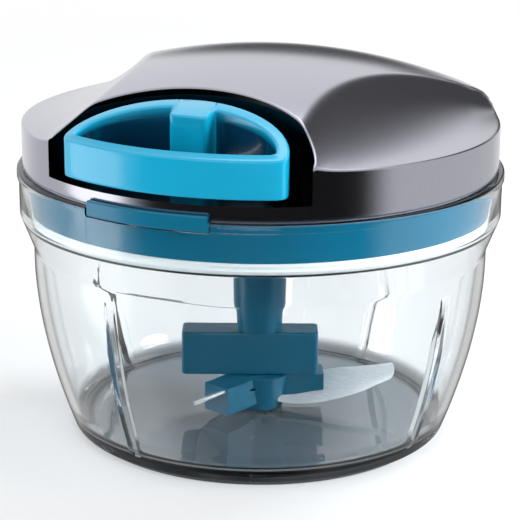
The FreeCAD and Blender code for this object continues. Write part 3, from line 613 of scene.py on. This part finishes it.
def makeTopCover():
    # an outer and an inner skin, joined by the skirt's bottom edge and by the pocket's floor and roof
    c = coverSize
    rim, bore = c["rim"], c["rim"] - c["wall"]
    corner, innerCorner = cornerAngle(0), cornerAngle(c["wall"])
    angles = coverAngles(corner, innerCorner)
    slack = 1e-4  # degrees, for angles that are meant to be equal
    back = np.append(angles[angles >= corner - slack], 360 - corner)
    innerBack = back[(back >= innerCorner - slack) & (back <= 360 - innerCorner + slack)]
    underside = c["pocketLevel"] - c["pocketWall"]
    outerParts, floorEdge = coverSkin(0.0, back, c["pocketLevel"])
    innerParts, roofEdge = coverSkin(c["wall"], innerBack, underside)
    away = (angles - c["notchTurn"] + 180) % 360 - 180
    base = np.where(np.abs(away) < c["notchHalf"], c["notchLevel"], c["base"])
    edge, bevel = c["baseEdge"], c["baseBevel"]
    rows = [(rim, c["pocketLevel"] + 0 * base), (rim, c["pocketLevel"] * 0.5 + base * 0.5),
            (rim, base + edge), (rim - bevel, base + bevel), (rim - edge, base), (bore + edge, base),
            (bore, base + c["boreEdge"]), (bore, underside + 0 * base)]
    skirt = np.stack([np.stack([*polar(radius, angles), level], -1) for radius, level in rows])
    mouth = angles[(angles >= -corner - slack) & (angles <= corner + slack)]
    innerMouth = np.concatenate([angles[angles > 360 - innerCorner + slack] - 360,
                                 angles[angles < innerCorner - slack]])
    innerMouth = np.unique(np.round(innerMouth, 5))
    parts = outerParts + innerParts + [
        gridPart(skirt, True), closeFloor(floorEdge, rim, mouth[1:-1][::-1], c["pocketLevel"]),
        closeFloor(roofEdge, bore, innerMouth[::-1], underside)]
    cover = placeMesh("domedCover", parts, "lid", "pale_grey_plastic", "top_cover", sharp=42)
    markPocketShade(cover.data)


makeTopCover()
print("cover made")

# Pull handle: a D-shaped loop; its section is a rounded upright bar whose top follows the dome

handleSize = {
    "half": 28.8, "length": 16.6, "centre": -53.774, "wall": 3.2, "low": 75.6, "sink": 1.0, "rim": 61.0,
    "corner": 1.6, "holeCorner": 0.9, "edge": 0.7, "frontWall": 2.2, "postHalf": 5.0, "postFront": -45.0,
    "matchFrom": 6.0, "recessIn": 0.6, "recessBeside": 0.7, "recessBelow": 0.3, "recessRun": 1.6,
    "ellipsePlaces": 1200, "arcPlaces": 600, "finePlaces": 4096, "outerPlaces": 2048, "drawnPlaces": 560,
    "edgeRows": 5, "wallRows": 6, "wallFrom": 0.15,
}


def loopOutline(half, length, rim, corner, count, hasPost=False):
    # a closed plan: half an ellipse at the back, an arc of the rim's circle in front, corners rounded by
    # averaging along the run; the post stands into the hole from its back
    h, fine = handleSize, handleSize["finePlaces"]
    turn = np.linspace(0, np.pi, h["ellipsePlaces"])
    x, y = half * np.cos(turn), h["centre"] + length * np.sin(turn)
    inside = np.hypot(x, y) <= rim
    x, y = x[inside], y[inside]
    if hasPost:
        y = np.where(np.abs(x) < h["postHalf"], np.minimum(y, h["postFront"]), y)
    first, last = math.atan2(x[0], -y[0]), math.atan2(x[-1], -y[-1])
    sweep = np.linspace(last, first, h["arcPlaces"])[1:-1]
    x = np.concatenate([x, rim * np.sin(sweep), x[:1]])
    y = np.concatenate([y, -rim * np.cos(sweep), y[:1]])
    run = np.concatenate([[0], np.cumsum(np.hypot(np.diff(x), np.diff(y)))])
    at = np.linspace(0, run[-1], fine, endpoint=False)
    z = np.interp(at, run, x) + 1j * np.interp(at, run, y)
    width = max(3, int(corner * 1.1 / (run[-1] / fine)))
    kernel = np.exp(-0.5 * (np.arange(-3 * width, 3 * width + 1) / width) ** 2)
    padded = np.concatenate([z[-3 * width:], z, z[:3 * width]])
    z = np.convolve(padded, kernel / kernel.sum(), "valid")
    pick = np.linspace(0, fine, count, endpoint=False).astype(int)
    ahead = np.roll(z, -3) - np.roll(z, 3)
    normal = -1j * ahead / np.abs(ahead)
    return z[pick], normal[pick]


def matchLoop(inner, outer):
    # for each point of the hole's edge, the place along the outer edge that has the same x beside the post,
    # and the same share of the widest x farther out; back and front are matched one after the other
    wide, start = inner.real.max(), handleSize["matchFrom"]
    grow = 1 + (outer.real.max() / wide - 1) * smoothStep((np.abs(inner.real) - start) / (wide - start))
    target = inner.real * grow
    place = np.empty(len(inner))
    ends = [(int(np.argmax(loop.real)), int(np.argmin(loop.real))) for loop in (inner, outer)]
    for way in (-1, 1):
        (first, last), (outerFirst, outerLast) = [pair[::-way] for pair in ends]
        mine = np.arange(first, first + (last - first) % len(inner)) % len(inner)
        theirs = np.arange(outerFirst, outerFirst + (outerLast - outerFirst) % len(outer) + 1)
        rising = np.maximum.accumulate(way * outer.real[theirs % len(outer)])
        place[mine] = np.interp(np.maximum.accumulate(way * target[mine]), rising, theirs)
    return place % len(outer)


def handleSide(line, outward):
    # rows of places and levels up one wall: round its lower edge, up the flat and round its upper edge
    h = handleSize
    edge, low, top = h["edge"], h["low"], domeLevel(line.real, line.imag, h["sink"])
    turns = np.linspace(0, np.pi / 2, h["edgeRows"])
    rows = [(line - outward * edge * (1 - math.sin(t)), np.full(len(line), low + edge * (1 - math.cos(t))))
            for t in turns]
    shares = np.linspace(h["wallFrom"], 1 - h["wallFrom"], h["wallRows"])
    rows += [(line, low + edge + (top - low - 2 * edge) * share) for share in shares]
    rows += [(line - outward * edge * (1 - math.cos(t)), top - edge * (1 - math.sin(t))) for t in turns]
    return rows


def markHoleShade(mesh):
    # painted shade: the hole's walls deepen in tone below the rim, all but the post's
    h = handleSize
    x, y, z = readVectors(mesh.vertices, "co").T / toMetres
    half, length = h["half"] - h["wall"] * h["recessIn"], h["length"] - h["wall"] * h["recessIn"]
    back = h["centre"] + length * np.sqrt(np.clip(1 - (x / half) ** 2, 0, 1))
    isBeside = np.abs(x) > h["postHalf"] + h["recessBeside"]
    isBehind = np.hypot(x, y) < h["rim"] - h["frontWall"] * h["recessIn"]
    depth = smoothStep((domeLevel(x, y, h["sink"]) - z - h["recessBelow"]) / h["recessRun"])
    markRecessShade(mesh, "POINT", (isBeside & isBehind & (y < back)) * depth)


def makeHandle():
    # the section runs up the outer wall, across the top and down the hole's wall
    h = handleSize
    outer, outward = loopOutline(h["half"], h["length"], h["rim"], h["corner"], h["outerPlaces"])
    inner, fromHole = loopOutline(h["half"] - h["wall"], h["length"] - h["wall"], h["rim"] - h["frontWall"],
                                  h["holeCorner"], h["drawnPlaces"], hasPost=True)
    place, steps = matchLoop(inner, outer), np.arange(h["outerPlaces"] + 1)
    outer, outward = (np.interp(place, steps, np.append(line, line[0])) for line in (outer, outward))
    outward /= np.abs(outward)
    rows = handleSide(outer, outward) + handleSide(inner, -fromHole)[::-1]
    rows.append(rows[0])
    points = np.stack([np.stack([place.real, place.imag, level], -1) for place, level in rows])
    piece = placeMesh("pullHandle", [gridPart(points, True)], "handle", "bright_teal_plastic", "pull_handle",
                      sharp=45)
    markHoleShade(piece.data)


makeHandle()
print("handle made")

# Blades: thin sickles, climbing from the root, pitched with the ground edge down and leading

bladeSize = {
    "root": 4.9, "flat": 4.0, "bow": 3.2, "tip": 0.55, "thickness": 1.0, "grind": 3.0, "edge": 0.12,
    "rootBack": 0.8, "backBow": 0.3, "tipOut": 0.25, "tipIn": 0.2, "stations": 72, "crowd": 1.4,
    "grindShare": 0.45, "climbShare": 0.72, "backRound": 0.35, "backThin": 0.45, "edgeStart": 0.04,
    "edgeRows": 7, "bodyRows": 9, "tipPower": 5,
}
# node, length, width, level, climb, pitch and turn
bladeRows = {
    "rightBlade": ("right_blade", 36.0, 12.0, 8.9, 1.5, 28.0, 24.0),
    "leftBlade": ("left_blade", 26.0, 12.0, 8.9, 1.5, 28.0, 252.0),
    "upperBlade": ("upper_blade", 37.0, 9.5, 33.0, 6.0, 20.0, 204.0),
}


def arcThrough(first, middle, last, share):
    # the circle through three points, followed from the first to the last
    a, b, c = complex(*first), complex(*middle), complex(*last)
    w = (c - a) / (b - a)
    centre = a + (b - a) * (w - abs(w) ** 2) / (2j * w.imag)
    start = np.angle(a - centre)
    sweep = np.angle((c - centre) / (a - centre))
    return centre + abs(a - centre) * np.exp(1j * (start + sweep * share))


def between(first, last, x, y):
    # the place halfway between two others, moved by x and y
    return (first[0] + last[0]) / 2 + x, (first[1] + last[1]) / 2 + y


def makeBlade(name, node, length, width, level, climb, pitch, turn):
    # for each station along the blade, a section runs from the ground edge over the top to the back and
    # returns below; its height follows a smooth climb, and the flanks of the edge are ground to a wedge
    b = bladeSize
    half = width / 2
    rootEdge, rootBack = (b["root"], -half), (b["root"], half * b["rootBack"])
    tipEdge = (length - half * b["tip"], half * (1 - 2 * b["tip"]))
    tipBack = (length, half)
    share = 1 - (1 - np.linspace(0, 1, b["stations"])) ** b["crowd"]
    edge = arcThrough(rootEdge, between(rootEdge, tipEdge, 0, -b["bow"]), tipEdge, share)
    back = arcThrough(rootBack, between(rootBack, tipBack, 0, -b["bow"] * b["backBow"]), tipBack, share)
    chord = np.abs(back - edge)
    grind = np.minimum(b["grind"], chord * b["grindShare"])
    away = np.concatenate([[0], np.linspace(b["edgeStart"], 1, b["edgeRows"])])[:, None] * grind
    body = grind + (chord - grind) * np.linspace(0, 1, b["bodyRows"])[1:, None]
    run = np.concatenate([away, body])
    across = run / chord
    last = across[:, -1:]
    tipMiddle = between(tipEdge, tipBack, half * b["tipOut"], -half * b["tipIn"])
    straight = complex(*tipEdge) * (1 - last) + complex(*tipBack) * last
    bulge = arcThrough(tipEdge, tipMiddle, tipBack, last) - straight
    place = edge + (back - edge) * across + bulge * share ** b["tipPower"]
    x, y = place.real, place.imag
    start = b["root"] + b["flat"] * 0.5
    height = climb * smoothStep((x - start) / (length * b["climbShare"] - start)) + b["thickness"] / 2
    thick = np.clip(run / grind, 0, 1) * (b["thickness"] - b["edge"]) + b["edge"]
    shoulder = np.clip((chord - run) / b["backRound"], 0, 1)
    thick = thick * (b["backThin"] + (1 - b["backThin"]) * np.sqrt(1 - (1 - shoulder) ** 2))
    top = np.stack([x, y, height + thick / 2], -1)
    under = np.stack([x, y, height - thick / 2], -1)[::-1]
    x, side, lift = np.moveaxis(np.concatenate([top, under, top[:1]]), -1, 0)
    tilt, spin = math.radians(pitch), math.radians(turn)
    y = side * math.cos(tilt) - lift * math.sin(tilt)
    z = side * math.sin(tilt) + lift * math.cos(tilt) + level
    ring = np.stack([x * math.cos(spin) - y * math.sin(spin), x * math.sin(spin) + y * math.cos(spin), z], -1)
    rows = len(run)
    ends = [(np.concatenate([ring[:rows, k], ring[rows:2 * rows, k][::-1]]),
             [[i, i + 1, rows + i + 1, rows + i] for i in range(rows - 1)]) for k in (0, -1)]
    placeMesh(name, [gridPart(ring, False)] + ends, "blade_unit", "blade_steel", node, sharp=24)


for bladeName, bladeRow in bladeRows.items():
    makeBlade(bladeName, *bladeRow)
print("blades made")

# Blade unit: the moulded column with its carrier, and the hub

softSize = {"merge": 1e-6, "flatWithin": 1.5, "edgeAngle": 35.0, "segments": 3}  # metres and degrees


def makeSoftened(node, name, width, body, slotName):
    # a merged copy of a moulded piece, with its outer edges rounded as a moulding's are
    mesh = nodes[node].data.copy()
    mesh.name = name
    work = bmesh.new()
    work.from_mesh(mesh)
    bmesh.ops.remove_doubles(work, verts=work.verts, dist=softSize["merge"])
    bmesh.ops.dissolve_limit(work, angle_limit=math.radians(softSize["flatWithin"]), verts=work.verts,
                             edges=work.edges)
    work.to_mesh(mesh)
    work.free()
    piece = placePiece(name, mesh, body, slotName, node, softSize["edgeAngle"])
    bevel = piece.modifiers.new("edges", "BEVEL")
    bevel.width, bevel.segments = width * toMetres, softSize["segments"]
    bevel.limit_method, bevel.angle_limit = "ANGLE", math.radians(softSize["edgeAngle"])


makeSoftened("blade_column", "bladeCarrier", 0.35, "blade_unit", "dark_teal_plastic")
makeSoftened("lower_hub", "bladeHub", 0.45, "blade_unit", "dark_teal_plastic")
print("blade unit made")

# Seal: a white ring with two soft lips

sealSize = {
    "inner": 58.35, "seam": 59.4, "foot": 58.1, "footOuter": 59.4, "lip": 59.9, "lowLip": 58.7,
    "waist": 59.45, "waistLevel": 59.3, "highLip": 59.9, "topOuter": 59.5, "top": 60.55,
}


def makeSeal():
    # the profile runs from a seam on the inside round the foot, the two lips and the top
    q = sealSize
    profile = roundedProfile([
        (q["inner"], q["seam"], 0), (q["inner"], q["foot"], 0.3), (q["footOuter"], q["foot"], 0.3),
        (q["lip"], q["lowLip"], 0.25), (q["waist"], q["waistLevel"], 0.25), (q["lip"], q["highLip"], 0.25),
        (q["topOuter"], q["top"], 0.25), (q["inner"], q["top"], 0.2), (q["inner"], q["seam"], 0)], 4)
    placeMesh("whiteSeal", [lathePart(profile)], "lid", "white_rubber", "lid_gasket")


makeSeal()
print("seal made")

# Cord: the turns on the drum, a straight pull through the eyelet, and the knot in the handle

cordSize = {
    "radius": 0.9, "winding": 15.9, "low": 76.8, "turns": 3.5, "squeeze": 0.99, "level": 84.3,
    "mouthY": -30.174, "knotY": -42.5, "outOfTurns": 3.2, "bend": 2.0, "knotScale": 0.47, "knotRadius": 0.75,
    "knotDeep": 1.2, "turnPlaces": 260, "insidePlaces": 12, "bendPlaces": 9, "outsidePlaces": 61,
    "knotPlaces": 120, "sides": 14, "hiddenSides": 10,
}


def tube(path, radius, sides):
    # a circle of that radius carried along the path, square to it
    path = np.asarray(path, float)
    ahead = np.gradient(path, axis=0)
    ahead /= np.linalg.norm(ahead, axis=1)[:, None]
    side = np.cross(ahead, [0.0, 0.0, 1.0])
    side /= np.linalg.norm(side, axis=1)[:, None]
    up = np.cross(side, ahead)
    turn = np.linspace(0, 2 * np.pi, sides, endpoint=False)
    radius = np.broadcast_to(radius, (len(path),))[:, None, None]
    ring = side[:, None] * np.cos(turn)[None, :, None] + up[:, None] * np.sin(turn)[None, :, None]
    points = path[:, None] + ring * radius
    caps = [(points[k], [list(range(sides))]) for k in (0, -1)]
    return [gridPart(points, True)] + caps


def makeWinding():
    # a helix in the drum's groove; the cord is squeezed by a hundredth, and its turns just touch
    c = cordSize
    turn = np.linspace(0, 2 * np.pi * c["turns"], c["turnPlaces"])
    helix = np.stack([c["winding"] * np.cos(turn), c["winding"] * np.sin(turn),
                      c["low"] + turn / (2 * np.pi) * 2 * c["radius"] * c["squeeze"]], -1)
    placeMesh("cordTurns", tube(helix, c["radius"] * c["squeeze"], c["hiddenSides"]), "drum", "white_cord",
              "cord_winding")


def makePull():
    # the run leaves the winding on a tangent, turns in the eyelet and goes straight to the knot; between the
    # lid and the handle it stretches
    c = cordSize
    leaveY = c["winding"] ** 2 / c["mouthY"]
    leave = np.array([math.sqrt(c["winding"] ** 2 - leaveY ** 2), leaveY, c["level"]])
    mouth = np.array([0, c["mouthY"], c["level"]])
    run = mouth - leave
    unit = run / np.linalg.norm(run)
    start = leave + unit * c["outOfTurns"]
    before, after = mouth - unit * c["bend"], mouth + np.array([0, -c["bend"], 0])
    share = np.linspace(0, 1, c["bendPlaces"])[:, None]
    bend = (1 - share) ** 2 * before + 2 * share * (1 - share) * mouth + share ** 2 * after
    far = np.array([0, c["knotY"], c["level"]])
    path = np.concatenate([start + (before - start) * np.linspace(0, 1, c["insidePlaces"])[:-1, None], bend,
                           after + (far - after) * np.linspace(0, 1, c["outsidePlaces"])[1:, None]])
    pull = placeMesh("pullCord", tube(path, c["radius"], c["sides"]), None, "white_cord", "pull_cord")
    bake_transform(pull)


def makeKnot():
    # the trefoil ((2 + cos 3t) cos 2t, (2 + cos 3t) sin 2t, sin 3t), drawn tight
    c = cordSize
    t = np.linspace(0, 2 * np.pi, c["knotPlaces"])
    wide = 2 + np.cos(3 * t)
    knot = np.stack([wide * np.cos(2 * t), np.sin(3 * t) * c["knotDeep"], wide * np.sin(2 * t)], -1)
    knot = np.array([0, c["knotY"], c["level"]]) + knot * c["knotScale"]
    points = tube(knot, c["knotRadius"], c["hiddenSides"])[0][0]
    parts = [gridPart(points[:-1], True), gridPart(points[[-2, 0]], True)]
    placeMesh("cordKnot", parts, "handle", "white_cord", "cord_knot")


makeWinding()
makePull()
makeKnot()
print("cord made")

# Stage: a pale floor, a soft studio and the camera

# degrees and millimetres
cameraSize = {
    "azimuth": 22.6, "elevation": 16.648, "distance": 482.33, "target": 43.6, "lens": 127.36, "sensor": 36.0,
    "roll": 0.42,
}


def throughGlass(tree):
    # shares for a ray that comes straight from the camera, through the bowl or not, and for one that the bowl
    # let through after a glossy bounce
    path = addNode(tree, "ShaderNodeLightPath").outputs
    glossy = doMath(tree, "MINIMUM", path["Glossy Depth"], 1.0)
    matt = doMath(tree, "MINIMUM", path["Diffuse Depth"], 1.0)
    bounced = doMath(tree, "MAXIMUM", glossy, matt)
    clear = doMath(tree, "MULTIPLY", path["Is Transmission Ray"], doMath(tree, "SUBTRACT", 1.0, bounced))
    straight = doMath(tree, "MAXIMUM", path["Is Camera Ray"], clear)
    afterGloss = doMath(tree, "MULTIPLY", path["Is Transmission Ray"], doMath(tree, "SUBTRACT", glossy, matt))
    return straight, afterGloss


# metres; the paper glows by that share round the object, and is white from "whiteFrom" to "whiteAt" outwards
floorSize = {"reach": 4.0, "glow": 0.38, "whiteFrom": 0.25, "whiteAt": 0.8}


def whitePaper():
    # matt paper, lit up to plain white farther out; gloss seen through the bowl passes it by
    f = floorSize
    material, tree, shader, place = startFinish("whitePaper", {
        "Base Color": toLinear("#dcdee0"), "Roughness": 0.9})
    straight, afterGloss = throughGlass(tree)
    glow = fadeBetween(tree, measureLength(tree, place), f["whiteFrom"], f["whiteAt"], low=f["glow"])
    white = addNode(tree, "ShaderNodeEmission", {}, {"Color": (1, 1, 1, 1), "Strength": 1.0}).outputs[0]
    paper = mixShaders(tree, doMath(tree, "MULTIPLY", straight, glow), shader.outputs[0], white)
    gone = addNode(tree, "ShaderNodeBsdfTransparent").outputs[0]
    tree.links.new(mixShaders(tree, afterGloss, paper, gone), tree.nodes["Material Output"].inputs["Surface"])
    return material


def makeFloor():
    # a square of paper at the level the pad stands on
    mesh = bpy.data.meshes.new("studioFloor")
    r = floorSize["reach"]
    mesh.from_pydata([(-r, -r, 0), (r, -r, 0), (r, r, 0), (-r, r, 0)], [], [(0, 1, 2, 3)])
    floor = bpy.data.objects.new("studioFloor", mesh)
    scene.collection.objects.link(floor)
    floor.visible_glossy = False
    floor.data.materials.append(whitePaper())


# What surfaces see of the studio, whose level is even but for some patches. Each patch is an azimuth, an
# elevation, the angles within which it is whole and beyond which it is gone, and its brightness. Later
# patches lie over earlier ones.
studioLevel = 0.62
studioPatches = {
    "openBack": (-152, 12, 22, 52, 0.86),
    "farCard": (159, 30, 3, 29, 0.07),
    "darkFront": (20, -14, 48, 66, 0.01),
    "frontSky": (5, 52, 42, 52, 0.62),
    "horizonLeft": (-160, 5, 4, 11, 0.06),
    "horizonRight": (184, 9, 4, 11, 0.06),
    "overhead": (190, 66, 9, 20, 1.9),
    "leftWindow": (-62, -12, 12, 20, 1.7),
}


def makeStudio():
    # white to the camera and through the bowl; gloss sees the patches, and the rest is even light
    world = bpy.data.worlds.new("softStudio")
    scene.world = world
    world.use_nodes = True
    tree = world.node_tree
    direction = addNode(tree, "ShaderNodeTexCoord").outputs["Generated"]
    level = studioLevel
    for azimuth, elevation, inner, outer, value in studioPatches.values():
        axis = {1: towards(azimuth, elevation)}
        dot = addNode(tree, "ShaderNodeVectorMath", {"operation": "DOT_PRODUCT"}, axis, {0: direction})
        end, whole = math.cos(math.radians(outer)), math.cos(math.radians(inner))
        share = fadeBetween(tree, dot.outputs["Value"], end, whole)
        level = mixValues(tree, "FLOAT", share, level, value)
    level = mixValues(tree, "FLOAT", throughGlass(tree)[0], level, 1.0)
    background = tree.nodes["Background"]
    background.inputs["Color"].default_value = (1, 1, 1, 1)
    tree.links.new(level, background.inputs["Strength"])


# azimuth, elevation, distance and width in metres, and watts; all are turned to a point over the floor
lamps = {
    "keyLamp": (150, 48, 1.2, 0.6, 9.0),
    "leftLamp": (-62, 14, 1.0, 0.4, 5.0),
    "frontFill": (18, 6, 1.2, 0.6, 3.0),
    "rightLamp": (98, 24, 1.0, 0.4, 9.0),
}
lampTarget = 0.05


def placeFacing(name, data, target, back, distance, roll=0.0):
    # a lamp or a camera at that distance from a point on the axis, looking back at it
    holder = bpy.data.objects.new(name, data)
    holder.location = Vector((0, 0, target)) + back * distance
    look = (-back).to_track_quat("-Z", "Y").to_matrix().to_4x4()
    holder.rotation_mode = "QUATERNION"
    holder.rotation_quaternion = (look @ Matrix.Rotation(math.radians(roll), 4, "Z")).to_quaternion()
    scene.collection.objects.link(holder)
    return holder


def makeLamp(name, azimuth, elevation, distance, size, power):
    lamp = bpy.data.lights.new(name, "AREA")
    lamp.shape, lamp.size, lamp.energy = "DISK", size, power
    holder = placeFacing(name, lamp, lampTarget, towards(azimuth, elevation), distance)
    holder.visible_camera = holder.visible_glossy = False


def makeCamera():
    c = cameraSize
    data = bpy.data.cameras.new("productCamera")
    data.lens, data.sensor_width = c["lens"], c["sensor"]
    back = towards(c["azimuth"], c["elevation"])
    scene.camera = placeFacing("productCamera", data, c["target"] * toMetres, back, c["distance"] * toMetres,
                               c["roll"])


makeFloor()
makeStudio()
for lampName, lampRow in lamps.items():
    makeLamp(lampName, *lampRow)
makeCamera()
print("stage made")
